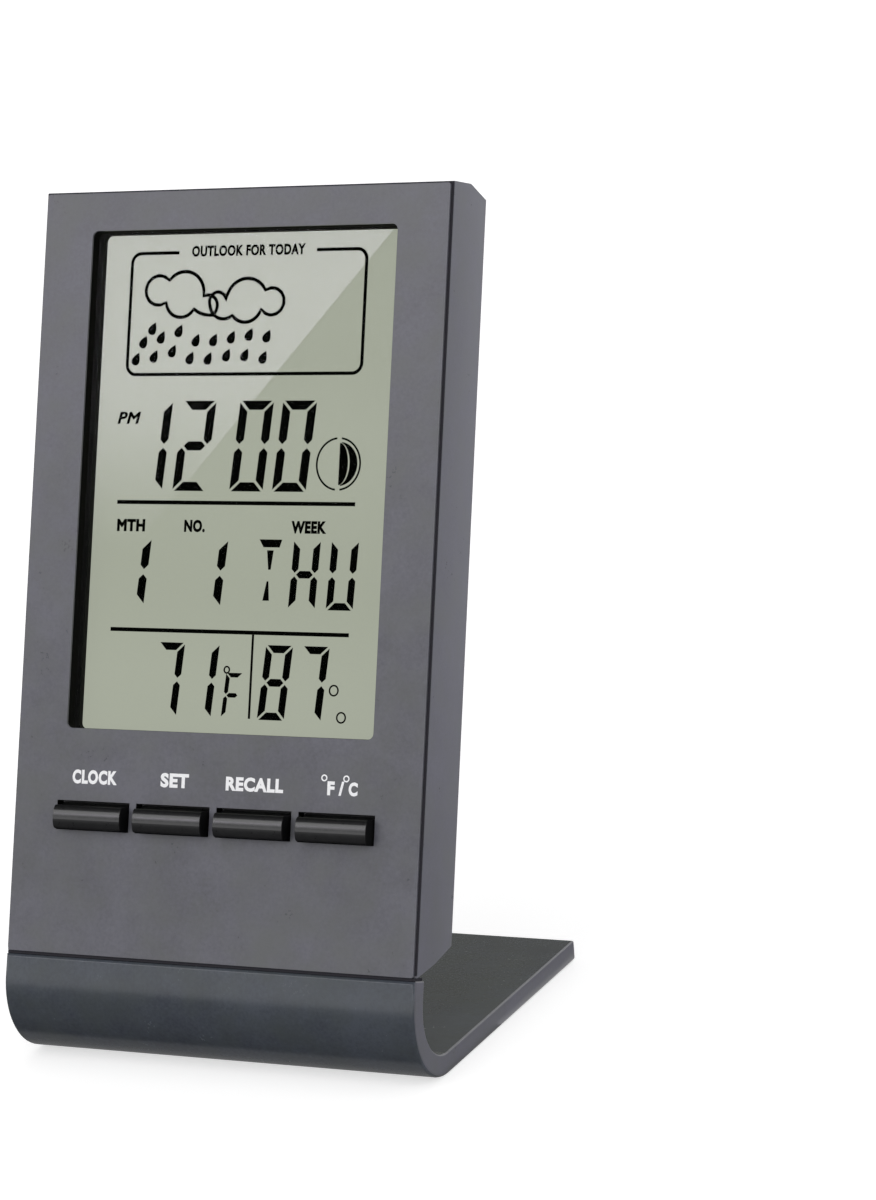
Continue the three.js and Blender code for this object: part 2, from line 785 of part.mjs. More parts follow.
head.add(mesh('battery_spring', batterySpring(), 'metal'));
head.add(mesh('negative_contact', contact(-negativePlate - contactThickness, -negativePlate), 'metal'));
head.add(mesh('positive_contact', contact(positivePlate, positivePlate + contactThickness), 'metal'));
head.add(mesh('battery_door', batteryDoor(), 'case'));

const buttonNames = ['mode', 'set', 'memory', 'unit'];
buttonCentres().forEach((x, i) => {
  head.add(mesh(`${buttonNames[i]}_button`, button(x), 'black'));
  head.add(mesh(`${buttonNames[i]}_plunger`, plunger(x), 'sensor'));
  head.add(mesh(`${buttonNames[i]}_switch`, tactSwitch(x), 'steel'));
});

const corners = [['lower', 0], ['upper', 1]];
for (const side of bothSides) {
  for (const [level, row] of corners) {
    const place = `${level}_${side < 0 ? 'left' : 'right'}`;
    const length = headSeat - rimBack - screwTipGap;
    const caseSeat = headSeat + fit;
    const boardSeat = boardBack + fit;
    const boardLength = boardSeat - rimBack - screwTipGap;
    const caseScrew = screw(side * screwX, caseScrewHeights[row], caseSeat, length);
    const boardScrew = screw(side * screwX, postHeights[row], boardSeat, boardLength);
    head.add(mesh(`case_screw_${place}`, caseScrew, 'steel'));
    head.add(mesh(`board_screw_${place}`, boardScrew, 'steel'));
  }
}

const seamFrame = new THREE.Group();
seamFrame.position.y = -originY;
seamFrame.add(head);
seamFrame.add(mesh('stand', stand(), 'stand'));
seamFrame.add(mesh('hinge_pin_left', hingePin(-1), 'steel'));
seamFrame.add(mesh('hinge_pin_right', hingePin(1), 'steel'));

const thermoHygrometer = new THREE.Group();
thermoHygrometer.add(seamFrame);

export default thermoHygrometer;
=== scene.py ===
import json
import math
import bmesh
import bpy
from mathutils import Matrix, Vector


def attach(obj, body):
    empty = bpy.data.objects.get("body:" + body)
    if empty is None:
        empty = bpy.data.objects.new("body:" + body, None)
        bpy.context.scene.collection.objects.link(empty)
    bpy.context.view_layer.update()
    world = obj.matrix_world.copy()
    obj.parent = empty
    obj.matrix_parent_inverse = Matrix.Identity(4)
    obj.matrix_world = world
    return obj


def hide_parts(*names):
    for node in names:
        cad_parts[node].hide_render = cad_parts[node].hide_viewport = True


# Desk thermo-hygrometer on its folding stand. Sizes in the dictionaries are millimetres, except
# for the studio's floor, wall and cards: those are metres, like Blender's own.
mm = 0.001
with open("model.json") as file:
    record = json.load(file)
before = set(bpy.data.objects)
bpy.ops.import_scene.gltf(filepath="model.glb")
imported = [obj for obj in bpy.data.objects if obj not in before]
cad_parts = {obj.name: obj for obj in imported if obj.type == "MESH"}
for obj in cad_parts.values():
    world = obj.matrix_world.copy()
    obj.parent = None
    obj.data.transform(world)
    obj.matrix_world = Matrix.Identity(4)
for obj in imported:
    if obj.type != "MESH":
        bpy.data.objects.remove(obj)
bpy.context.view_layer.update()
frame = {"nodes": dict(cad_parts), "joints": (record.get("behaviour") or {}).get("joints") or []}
scene = bpy.context.scene
scene.view_settings.view_transform = "Standard"

# The head is drawn upright, with X across the face, Y into the head and Z up the face,
# and headPlace leans it on the stand.
hinge = {"behindFace": 4.8, "aboveSeam": 1.5}
joints = {joint["name"]: joint for joint in frame["joints"]}
backAxis = Vector(joints["mode_press"]["axis"]).normalized()
upAxis = -Vector(joints["battery_door_slide"]["axis"]).normalized()
acrossAxis = Vector((1, 0, 0))
pin = Vector(joints["stand_fold"]["pos_m"])
seam = pin - (backAxis * hinge["behindFace"] + upAxis * hinge["aboveSeam"]) * mm
headPlace = Matrix((acrossAxis, backAxis, upAxis)).transposed().to_4x4()
headPlace.translation = seam
headInverse = headPlace.inverted()
leanAngle = math.atan2(-backAxis.z, backAxis.y)


# shader helpers
def rgb(red, green, blue):
    # a screen colour from 0 to 255, as Blender's linear values
    def linear(part):
        share = part / 255
        return share / 12.92 if share <= 0.04045 else ((share + 0.055) / 1.055) ** 2.4
    return (linear(red), linear(green), linear(blue), 1)


class Wire:
    # the output of a node; arithmetic on it adds Math nodes
    def __init__(self, finish, socket):
        self.finish = finish
        self.socket = socket

    def maths(self, operation, *values, clamp=False):
        settings = {"operation": operation, "use_clamp": clamp}
        return self.finish.node("ShaderNodeMath", settings, dict(enumerate(values)))

    def __add__(self, other):
        return self.maths("ADD", self, other)

    def __mul__(self, other):
        return self.maths("MULTIPLY", self, other)

    def __sub__(self, other):
        return self.maths("SUBTRACT", self, other)

    def __rsub__(self, other):
        return self.maths("SUBTRACT", other, self)

    __radd__ = __add__
    __rmul__ = __mul__

    def above(self, edge):
        return self.maths("GREATER_THAN", self, edge)

    def clamped(self):
        return self.maths("ADD", self, 0.0, clamp=True)

    def swing(self, gain):
        # noise that swings about 0 instead of a half
        return (self - 0.5) * gain


class Finish:
    # one material and the nodes that make it
    def __init__(self, name, world=None):
        owner = world or bpy.data.materials.new(name)
        owner.use_nodes = True
        self.material = owner
        self.tree = owner.node_tree
        self.tree.nodes.clear()

    def node(self, kind, settings=None, links=None, output=0):
        made = self.tree.nodes.new(kind)
        for name, value in (settings or {}).items():
            setattr(made, name, value)
        for name, value in (links or {}).items():
            if isinstance(value, Wire):
                self.tree.links.new(value.socket, made.inputs[name])
            else:
                made.inputs[name].default_value = value
        return Wire(self, made.outputs[output]) if len(made.outputs) else None

    def place(self, move=(0, 0, 0), turn=(0, 0, 0)):
        # Object coordinates, moved and turned
        point = self.node("ShaderNodeTexCoord", output=3)
        if not any(move) and not any(turn):
            return point
        return self.node("ShaderNodeMapping", None, {"Vector": point, "Location": move, "Rotation": turn})

    def headPoint(self):
        # Object coordinates turned into the head's own directions, from the seam
        move = Matrix.Rotation(leanAngle, 3, "X") @ -seam
        return self.place(tuple(move), (leanAngle, 0, 0))

    def axis(self, point, index):
        return self.node("ShaderNodeSeparateXYZ", None, {0: point}, output=index)

    def noise(self, scale, detail=2.0, roughness=0.5, point=None):
        links = {"Vector": point or self.place(), "Scale": scale, "Detail": detail, "Roughness": roughness}
        return self.node("ShaderNodeTexNoise", None, links)

    def mix(self, factor, first, second):
        links = {0: factor, 6: first, 7: second}
        return self.node("ShaderNodeMix", {"data_type": "RGBA"}, links, output=2)

    def bump(self, height, strength, depth):
        links = {"Height": height, "Strength": strength, "Distance": depth * mm}
        return self.node("ShaderNodeBump", None, links)

    def ramp(self, value, marks, levels=(0.0, 1.0), shape="SMOOTHSTEP"):
        # goes from the first level to the second while value passes from mark to mark
        links = {"Value": value, "From Min": marks[0], "From Max": marks[1]}
        links.update({"To Min": levels[0], "To Max": levels[1]})
        return self.node("ShaderNodeMapRange", {"interpolation_type": shape}, links)

    def surface(self, **inputs):
        links = {name.replace("_", " "): value for name, value in inputs.items()}
        return self.node("ShaderNodeBsdfPrincipled", None, links)

    def finishAs(self, shader):
        self.node("ShaderNodeOutputMaterial", None, {"Surface": shader})
        return self.material


def mouldedPlastic(name, dark, light, tint, shine, grainDepth, specks=0.25):
    # matt moulded plastic: broad flow clouds, a faint drift of hue, a fine sparked grain, a few specks
    gains = {"clouds": 1.9, "blotches": 1.5, "grain": 2.0}
    tinted = {"above": 0.4, "gain": 3, "share": 0.7}
    dotted = 0.73
    finish = Finish(name)
    clouds = finish.noise(42, detail=3, roughness=0.55)
    blotches = finish.noise(210, detail=3, roughness=0.6)
    grain = finish.noise(1700, detail=3, roughness=0.7)
    share = 0.5 + clouds.swing(gains["clouds"]) + blotches.swing(gains["blotches"])
    share = (share + grain.swing(gains["grain"])).clamped()
    drift = finish.noise(150, detail=3, roughness=0.6, point=finish.place((0.3, 0.1, 0.2)))
    hue = ((drift - tinted["above"]) * tinted["gain"]).clamped()
    colour = finish.mix(hue * tinted["share"], finish.mix(share, dark, light), tint)
    dots = finish.noise(900, detail=1, roughness=0.4, point=finish.place((0.1, 0.4, 0.3))).above(dotted)
    shader = finish.surface(
        Base_Color=finish.mix(dots * specks, colour, light),
        Roughness=shine + blotches.swing(0.12) + grain.swing(0.1),
        Specular_IOR_Level=0.5,
        Normal=finish.bump(grain + blotches * 0.6, strength=0.35, depth=grainDepth),
    )
    return finish.finishAs(shader)


def metalFinish(name, colour, worn, shine, brushed=900):
    finish = Finish(name)
    streaks = finish.noise(brushed, detail=3, roughness=0.65)
    stains = finish.noise(160, detail=2, roughness=0.5)
    shader = finish.surface(
        Base_Color=finish.mix((stains * 0.9 + streaks.swing(0.3)).clamped(), colour, worn),
        Metallic=1.0,
        Roughness=shine + streaks.swing(0.15),
        Normal=finish.bump(streaks, strength=0.2, depth=0.02),
    )
    return finish.finishAs(shader)


def plainFinish(name, dark, light, shine, scale=300, specular=0.4):
    finish = Finish(name)
    mottle = finish.noise(scale, detail=3, roughness=0.6)
    shader = finish.surface(
        Base_Color=finish.mix(mottle, dark, light),
        Roughness=shine + mottle.swing(0.15),
        Specular_IOR_Level=specular,
        Normal=finish.bump(mottle, strength=0.25, depth=0.02),
    )
    return finish.finishAs(shader)


caseTones = {"dark": rgb(84, 84, 91), "light": rgb(96, 96, 105), "tint": rgb(90, 92, 91)}
standTones = {"dark": rgb(64, 68, 76), "light": rgb(75, 80, 88), "tint": rgb(70, 75, 76)}
casePlastic = mouldedPlastic("satin grey case plastic", *caseTones.values(), 0.31, 0.012)
standPlastic = mouldedPlastic("slate stand plastic", *standTones.values(), 0.24, 0.006, 0)
# painted highlight for the stand's rounded edges that look up
standEdgeHighlight = plainFinish("stand edge painted highlight", rgb(116, 116, 120), rgb(130, 130, 134), 0.4, 700)
# painted shade for the rounded right edge of the window
windowEdgeShade = plainFinish("window edge painted shade", rgb(66, 66, 70), rgb(76, 76, 81), 0.5, 900, 0.2)
buttonPlastic = plainFinish("black glossy button plastic", rgb(52, 52, 53), rgb(61, 61, 62), 0.2, 1500, 0.6)
# painted shade: darker copies of the button plastic for the faces of the bars that look up, down or to the
# ends
buttonTopShade = plainFinish("button ledge painted shade", rgb(21, 21, 22), rgb(28, 28, 29), 0.3, 1500, 0.3)
buttonFootShade = plainFinish("button foot painted shade", rgb(31, 31, 32), rgb(38, 38, 39), 0.3, 1500, 0.3)
buttonEndShade = plainFinish("button end painted shade", rgb(17, 17, 18), rgb(24, 24, 25), 0.6, 1500, 0.1)
# black of the window sleeve, and painted shade in the button slots
sleeveBlackAndShade = plainFinish("black sleeve and slot painted shade", rgb(3, 3, 3), rgb(6, 6, 5), 0.7, 900, 0.05)
holderPlastic = plainFinish("black holder plastic", rgb(5, 5, 4), rgb(9, 9, 8), 0.6, 900, 0.1)
# painted shade for the parting line and the seam under the head
partingShade = plainFinish("parting line painted shade", rgb(44, 43, 48), rgb(52, 51, 57), 0.8, 1200, 0.1)
segmentInk = plainFinish("display black", rgb(2, 3, 2), rgb(6, 7, 5), 0.7, 300, 0.0)
printInk = plainFinish("white print", rgb(240, 240, 243), rgb(254, 254, 255), 0.5, 1800, 0.5)
zebraRubber = plainFinish("pink zebra rubber", rgb(188, 120, 118), rgb(204, 142, 138), 0.7, 1200)
resinBlack = plainFinish("black resin", rgb(12, 12, 13), rgb(26, 26, 28), 0.3, 900)
sensorWhite = plainFinish("white sensor shell", rgb(214, 213, 204), rgb(236, 235, 228), 0.5, 900)
brightMetal = metalFinish("bright spring steel", rgb(206, 208, 212), rgb(176, 178, 184), 0.24)
zincSteel = metalFinish("zinc plated steel", rgb(166, 170, 176), rgb(128, 132, 140), 0.36)
brassMetal = metalFinish("brass", rgb(214, 182, 104), rgb(168, 134, 70), 0.32)
foilMetal = metalFinish("reflector foil", rgb(214, 218, 220), rgb(196, 200, 202), 0.3, 2400)


def displayFinish():
    # grey green liquid crystal glass, its brightness mostly painted glow: an emission that stands in for
    # lamp light and is painted brighter towards its foot;
    # soft haze, and a polished polariser on top
    # painted glow: the emission colours at the display's foot and top, brighter at the foot, standing in for
    # light
    glow = {
        "foot": (rgb(157, 160, 147), rgb(162, 165, 152)),
        "top": (rgb(141, 144, 130), rgb(146, 149, 135)),
        "between": (45, 93), "strength": 1.08,
    }
    finish = Finish("display glass with painted glow")
    haze = finish.noise(60, detail=2, roughness=0.5)
    grain = finish.noise(2600, detail=2, roughness=0.6)
    share = (haze * 0.7 + grain * 0.3).clamped()
    marks = [up * mm for up in glow["between"]]
    height = finish.ramp(finish.axis(finish.headPoint(), 2), marks, shape="LINEAR")
    shader = finish.surface(
        Base_Color=finish.mix(share, rgb(56, 58, 50), rgb(60, 62, 54)),
        # painted glow: the display gives off this light itself instead of being lit by the lamps
        Emission_Color=finish.mix(height, finish.mix(share, *glow["foot"]), finish.mix(share, *glow["top"])),
        Emission_Strength=glow["strength"],
        Roughness=0.5 + grain.swing(0.1),
        Specular_IOR_Level=0.0,
        Coat_Weight=1.0,
        Coat_Roughness=0.0,
        Coat_IOR=1.5,
    )
    return finish.finishAs(shader)


def windowFinish():
    # thin clear acrylic, seen only by its gloss, which is the same from within and grows at a glance
    gloss = {"faceOn": 0.0006, "steepness": 5, "least": 0.9, "smeared": 0.2}
    finish = Finish("clear window acrylic")
    smear = finish.noise(90, detail=2, roughness=0.5)
    clear = finish.node("ShaderNodeBsdfTransparent", None, {"Color": (0.97, 0.98, 0.97, 1)})
    mirror = finish.node("ShaderNodeBsdfGlossy", None, {"Color": (1, 1, 1, 1), "Roughness": 0.02})
    slant = finish.node("ShaderNodeLayerWeight", None, {"Blend": 0.5}, output=1)
    glance = slant.maths("POWER", slant, gloss["steepness"])
    edge = gloss["faceOn"] + glance * (1 - gloss["faceOn"])
    share = edge * (gloss["least"] + smear * gloss["smeared"])
    return finish.finishAs(finish.node("ShaderNodeMixShader", None, {0: share, 1: clear, 2: mirror}))


def boardFinish():
    # green solder mask over copper tracks, with tinned pads
    board = {"trackPitch": 1.27, "trackShare": 0.3, "wander": 2.0, "padPitch": 2.54, "padRadius": 0.24}
    finish = Finish("green circuit board")
    point = finish.headPoint()
    bend = finish.noise(240, detail=1, roughness=0.5, point=point)
    across = finish.axis(point, 0) * (1 / (board["trackPitch"] * mm)) + bend.swing(board["wander"])
    tracks = across.maths("PINGPONG", across, 0.5).above(board["trackShare"])
    links = {"Vector": point, "Scale": 1 / (board["padPitch"] * mm), "Randomness": 0.35}
    spots = finish.node("ShaderNodeTexVoronoi", None, links)
    pads = 1 - spots.above(board["padRadius"])
    mask = finish.mix(tracks, rgb(24, 84, 50), rgb(40, 112, 66))
    shader = finish.surface(
        Base_Color=finish.mix(pads, mask, rgb(196, 190, 172)),
        Metallic=pads * 0.85,
        Roughness=0.42 - pads * 0.1,
        Normal=finish.bump(tracks + pads, strength=0.3, depth=0.03),
    )
    return finish.finishAs(shader)


def cellFinish():
    # printed sleeve in two plain bands, bare metal at both ends
    cell = {"positiveEnd": 21.0, "negativeEnd": -21.6, "bandFrom": 12.0}
    finish = Finish("battery sleeve")
    along = finish.axis(finish.place(), 0)
    scuff = finish.noise(500, detail=3, roughness=0.6)
    positive = along.above(cell["positiveEnd"] * mm)
    bare = (positive + 1 - along.above(cell["negativeEnd"] * mm)).clamped()
    sleeve = finish.mix(along.above(cell["bandFrom"] * mm), rgb(38, 58, 96), rgb(176, 178, 180))
    colour = finish.mix(scuff * 0.15, sleeve, rgb(150, 152, 156))
    shader = finish.surface(
        Base_Color=finish.mix(bare, colour, rgb(198, 200, 204)),
        Metallic=bare * 0.95,
        Roughness=0.3 + scuff * 0.1,
    )
    return finish.finishAs(shader)


displayGlass, windowClear = displayFinish(), windowFinish()
boardLaminate, cellSleeve = boardFinish(), cellFinish()
print("finishes made:", len(bpy.data.materials))


# Mesh helpers. Corners closer than joinWithin become one. Exact, near and loose say how close to
# its place a corner of a solid is looked for. All these are millimetres, the angles are degrees.
joinWithin = {"solid": 0.002, "drawn": 0.0005}
exact, near, loose = 0.01, 0.02, 0.05
angles = {"flat": 0.4, "sharp": 28, "crease": 32}


def inHead(point):
    # a point in the head's own directions, in millimetres
    return headInverse @ point / mm


def headPointOf(vert):
    return inHead(vert.co)


def putInHead(vert, place):
    vert.co = headPlace @ (place * mm)


def cadCopy(node):
    # the solid's mesh, joined up and with its flat faces whole again
    bm = bmesh.new()
    bm.from_mesh(frame["nodes"][node].data)
    bmesh.ops.remove_doubles(bm, verts=bm.verts[:], dist=joinWithin["solid"] * mm)
    flat = math.radians(angles["flat"])
    bmesh.ops.dissolve_limit(bm, angle_limit=flat, verts=bm.verts[:], edges=bm.edges[:])
    return bm


def softenEdges(bm, width, pick, segments=3):
    # rounds the sharp edges whose two ends both pass pick
    sharp = math.radians(angles["sharp"])
    chosen = [
        edge for edge in bm.edges
        if len(edge.link_faces) == 2 and edge.calc_face_angle(0) > sharp
        and all(pick(vert) for vert in edge.verts)
    ]
    bmesh.ops.bevel(
        bm, geom=chosen, offset=width * mm, offset_type="OFFSET", affect="EDGES",
        segments=segments, profile=0.5, material=-1, clamp_overlap=True,
    )
    return len(chosen)


def addPiece(name, bm, finish, body, replaces=(), extras=()):
    # extras are the finishes of the faces with material index 1 and up
    mesh = bpy.data.meshes.new(name)
    bm.to_mesh(mesh)
    bm.free()
    if "custom_normal" in mesh.attributes:
        mesh.attributes.remove(mesh.attributes["custom_normal"])
    for material in (finish, *extras):
        mesh.materials.append(material)
    mesh.shade_smooth()
    mesh.set_sharp_from_angle(angle=math.radians(angles["crease"]))
    piece = bpy.data.objects.new(name, mesh)
    scene.collection.objects.link(piece)
    piece.modifiers.new("even shading", "WEIGHTED_NORMAL").keep_sharp = True
    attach(piece, body)
    if replaces:
        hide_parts(*replaces)
    return piece


def addPlate(bm, corners, front, thick):
    # a flat shape from its corners (across, up), its front at the given depth in the head
    face = bm.faces.new([bm.verts.new((u * mm, front * mm, v * mm)) for u, v in corners])
    made = bmesh.ops.extrude_face_region(bm, geom=[face])["geom"]
    moved = [item for item in made if isinstance(item, bmesh.types.BMVert)]
    bmesh.ops.translate(bm, verts=moved, vec=(0, thick * mm, 0))


def addRing(bm, corners, front, depth, wall):
    # a straight-walled ring whose outline is given by its corners
    before = set(bm.faces)
    addPlate(bm, corners, front, depth)
    ends = []
    for face in set(bm.faces) - before:
        heights = [vert.co.y for vert in face.verts]
        if max(heights) - min(heights) < exact * mm:
            ends.append(face)
    bmesh.ops.inset_region(bm, faces=ends, thickness=wall * mm, use_even_offset=True)
    bmesh.ops.bridge_loops(bm, edges=[edge for face in ends for edge in face.edges])
    bmesh.ops.delete(bm, geom=ends, context="FACES_ONLY")


def addMesh(bm, owner, matrix):
    # takes over what a text or curve looks like, and removes it
    scene.collection.objects.link(owner)
    bpy.context.view_layer.update()
    shown = owner.evaluated_get(bpy.context.evaluated_depsgraph_get())
    mesh = bpy.data.meshes.new_from_object(shown)
    mesh.transform(matrix(mesh))
    bm.from_mesh(mesh)
    bpy.data.meshes.remove(mesh)
    curve = owner.data
    bpy.data.objects.remove(owner)
    bpy.data.curves.remove(curve)


def addStroke(bm, path, width, front, thick, closed=False):
    # a line of even width along a path of points (across, up)
    curve = bpy.data.curves.new("stroke", "CURVE")
    curve.dimensions = "3D"
    curve.bevel_depth = width / 2 * mm
    curve.bevel_resolution = 1
    curve.use_fill_caps = True
    line = curve.splines.new("POLY")
    line.points.add(len(path) - 1)
    for point, (u, v) in zip(line.points, path):
        point.co = (u * mm, 0, v * mm, 1)
    line.use_cyclic_u = closed
    flatten = Matrix.Diagonal((1, thick / width, 1, 1))
    flatten.translation = (0, (front + thick / 2) * mm, 0)
    addMesh(bm, bpy.data.objects.new("stroke", curve), lambda mesh: flatten)


def addLettering(bm, words, across, up, front, thick, bold=0.0, slant=0.0, spacing=1.1):
    # words that fill the box across and up
    text = bpy.data.curves.new("words", "FONT")
    text.body = words
    text.bevel_depth = bold
    text.bevel_resolution = 0
    text.shear = slant
    text.space_character = spacing
    text.resolution_u = 4
    text.extrude = 0.5

    def fitted(mesh):
        xs = [vert.co.x for vert in mesh.vertices]
        ys = [vert.co.y for vert in mesh.vertices]
        wide = (across[1] - across[0]) / (max(xs) - min(xs))
        high = (up[1] - up[0]) / (max(ys) - min(ys))
        return Matrix((
            (wide * mm, 0, 0, (across[0] - wide * min(xs)) * mm),
            (0, 0, thick * mm, (front + thick / 2) * mm),
            (0, high * mm, 0, (up[0] - high * min(ys)) * mm),
            (0, 0, 0, 1),
        ))

    addMesh(bm, bpy.data.objects.new("words", text), fitted)


def arc(centre, radii, fromAngle, toAngle, steps):
    # points on an ellipse, angles in degrees
    turns = [math.radians(fromAngle + (toAngle - fromAngle) * i / steps) for i in range(steps + 1)]
    return [(centre[0] + radii[0] * math.cos(a), centre[1] + radii[1] * math.sin(a)) for a in turns]


def ellipse(centre, radii, steps):
    # a closed path, without its first point again at the end
    return arc(centre, radii, 0, 360, steps)[:-1]


def lobe(start, through, end, steps=10):
    # the arc from start to end by way of a third point, without its end
    (ax, ay), (bx, by), (cx, cy) = start, through, end
    d = 2 * (ax * (by - cy) + bx * (cy - ay) + cx * (ay - by))
    squares = [ax * ax + ay * ay, bx * bx + by * by, cx * cx + cy * cy]
    ox = (squares[0] * (by - cy) + squares[1] * (cy - ay) + squares[2] * (ay - by)) / d
    oy = (squares[0] * (cx - bx) + squares[1] * (ax - cx) + squares[2] * (bx - ax)) / d
    first, middle, last = (math.degrees(math.atan2(y - oy, x - ox)) for x, y in (start, through, end))
    sweep = (last - first) % 360
    if (middle - first) % 360 > sweep:
        sweep -= 360
    radius = math.hypot(ax - ox, ay - oy)
    return arc((ox, oy), (radius, radius), first, first + sweep, steps)[:-1]


def onHead(bm):
    # leans what was drawn upright, and turns every face outwards
    bmesh.ops.remove_doubles(bm, verts=bm.verts[:], dist=joinWithin["drawn"] * mm)
    bmesh.ops.transform(bm, matrix=headPlace, verts=bm.verts[:])
    bmesh.ops.recalc_face_normals(bm, faces=bm.faces[:])
    return bm


# case, stand and buttons, rounded from the solids; a slot's two edges have a height and a shift
bezel = {
    "edge": 0.08, "round": 0.5, "slotTop": (23.98, -0.19), "slotFoot": (18.98, 0.22), "slotDepth": 2.05,
    "slotReach": 28, "window": (25.3, 26.45), "windowFoot": 30, "faceOn": -0.97,
}
bm = cadCopy("front_bezel")
for vert in bm.verts:
    # the slots fit a little closer above and below the bars
    place = headPointOf(vert)
    if place.y < bezel["slotDepth"] and abs(place.x) < bezel["slotReach"]:
        for edge, closer in (bezel["slotTop"], bezel["slotFoot"]):
            if abs(place.z - edge) < near:
                place.z += closer
                putInHead(vert, place)


def byWindowEdge(place, reach=0):
    # at the right edge of the window, or as far as reach beyond it
    left, right = bezel["window"]
    return left < place.x < right + reach and place.z > bezel["windowFoot"]


def onFace(vert):
    return headPointOf(vert).y < exact


softenEdges(bm, bezel["round"], lambda vert: onFace(vert) and byWindowEdge(headPointOf(vert)), segments=4)
count = softenEdges(bm, bezel["edge"], onFace)
bm.normal_update()
for face in bm.faces:
    # painted shade: the rounded right edge of the window takes a darker copy of the case plastic
    deepest = max(headPointOf(vert).y for vert in face.verts)
    rounded = deepest < bezel["round"] + near and face.normal.dot(backAxis) > bezel["faceOn"]
    if rounded and byWindowEdge(inHead(face.calc_center_median()), bezel["round"]):
        face.material_index = 1
moulding = addPiece("bezel_moulding", bm, casePlastic, "head", ["front_bezel"], [windowEdgeShade])
print("bezel edges rounded:", count)

shell = {
    "back": 15.2, "front": 0.8, "halfWidth": 35.2, "top": 119.7, "flat": 6.8, "topTaper": 1.5,
    "sideTaper": 1.1, "lift": (0.6, 0.95), "spread": 0.2, "rim": 0.68, "rimDrop": 0.05,
    "outer": 0.4, "outerSide": 1.25, "outerTop": 1.6, "outerFoot": 0.06,
    "opening": 0.14, "openingsHalf": 33, "openingsUp": (5.2, 118.2),
}


def onBack(vert):
    return headPointOf(vert).y > shell["back"] - exact


def onRearRim(vert):
    # the outline of the rear wall
    place = headPointOf(vert)
    atSide = abs(place.x) > shell["halfWidth"] - shell["outerSide"]
    atTop = place.z > shell["top"] - shell["outerTop"]
    foot = (place.y - shell["front"]) * math.tan(leanAngle)
    atFoot = abs(place.z - foot) < shell["outerFoot"]
    return place.y > shell["back"] - loose and (atSide or atTop or atFoot)


def onOpening(vert):
    # the edges within the rear wall
    place = headPointOf(vert)
    low, high = shell["openingsUp"]
    return onBack(vert) and abs(place.x) < shell["openingsHalf"] and low < place.z < high


bm = cadCopy("rear_case")
for vert in bm.verts:
    # the rim comes nearer the face plate; behind it the top runs a little higher, and the sides
    # close in a little less
    place = headPointOf(vert)
    share = min(max((place.y - shell["flat"]) / (shell["back"] - shell["flat"]), 0), 1)
    atTop = place.z > shell["top"] - exact
    atSide = abs(place.x) > shell["halfWidth"] - exact
    if abs(place.y - shell["front"]) < exact and (atTop or atSide):
        place.y = shell["rim"]
        place.z -= shell["rimDrop"] if atTop else 0
        putInHead(vert, place)
    if place.y > shell["flat"] - exact:
        if abs(place.z - shell["top"] + shell["topTaper"] * share) < loose:
            place.z += shell["lift"][0] * (1 - share) + shell["lift"][1] * share
        if abs(abs(place.x) - shell["halfWidth"] + shell["sideTaper"] * share) < loose:
            place.x += math.copysign(shell["spread"] * share, place.x)
        putInHead(vert, place)
rounded = softenEdges(bm, shell["outer"], onRearRim, segments=4)
openings = softenEdges(bm, shell["opening"], onOpening, segments=2)
addPiece("rear_shell", bm, casePlastic, "head", ["rear_case"])
print("rear shell edges rounded:", rounded, "and", openings)

bm = cadCopy("battery_door")
softenEdges(bm, shell["opening"], onBack, segments=2)
addPiece("battery_cover", bm, casePlastic, "battery_door", ["battery_door"])

stand = {
    "edge": 0.32, "outerEdge": 0.6, "halfWidth": 35.2, "gap": 0.6, "shownGap": 0.46, "topDepth": 3.6,
    "bendRadius": 11.25, "innerReach": 9.5, "footTop": 1.0,
    "sideFrom": 34.5, "sideways": 0.2, "square": 0.9, "slanted": 0.3,
}
bm = cadCopy("stand")
for vert in bm.verts:
    # the upper edge comes a little nearer the head
    place = headPointOf(vert)
    if abs(place.z + stand["gap"]) < near and place.y < stand["topDepth"]:
        place.z = -stand["shownGap"]
        putInHead(vert, place)
# the middle of the bend, as depth and height
lowest = min(vert.co.z for vert in bm.verts)
foremost = min(vert.co.y for vert in bm.verts)
bendMiddle = Vector((foremost, lowest)) + Vector((1, 1)) * stand["bendRadius"] * mm


def onSide(vert):
    # the outline of both side faces
    return abs(vert.co.x) > (stand["halfWidth"] - loose) * mm


def onOuterSide(vert):
    # the part of that outline that looks to the front or down
    behind = vert.co.y > bendMiddle.x and vert.co.z > lowest + stand["footTop"] * mm
    inside = (Vector((vert.co.y, vert.co.z)) - bendMiddle).length < stand["innerReach"] * mm
    return onSide(vert) and not behind and not inside


count = softenEdges(bm, stand["outerEdge"], onOuterSide)
count += softenEdges(bm, stand["edge"], onSide)
bm.normal_update()
for face in bm.faces:
    # painted light: the side faces, and the rounded faces that do not look to the front or down, take the
    # paler case plastic; the rounded faces that look up take a pale painted highlight
    facing = face.normal
    if abs(facing.x) > stand["sideways"] and abs(face.calc_center_median().x) > stand["sideFrom"] * mm:
        rounded = abs(facing.x) < stand["square"]
        if rounded and facing.z > stand["slanted"]:
            face.material_index = 2
        elif not rounded or facing.y + facing.z >= -stand["slanted"]:
            face.material_index = 1
addPiece("stand_moulding", bm, standPlastic, "stand", ["stand"], [casePlastic, standEdgeHighlight])
print("stand edges rounded:", count)
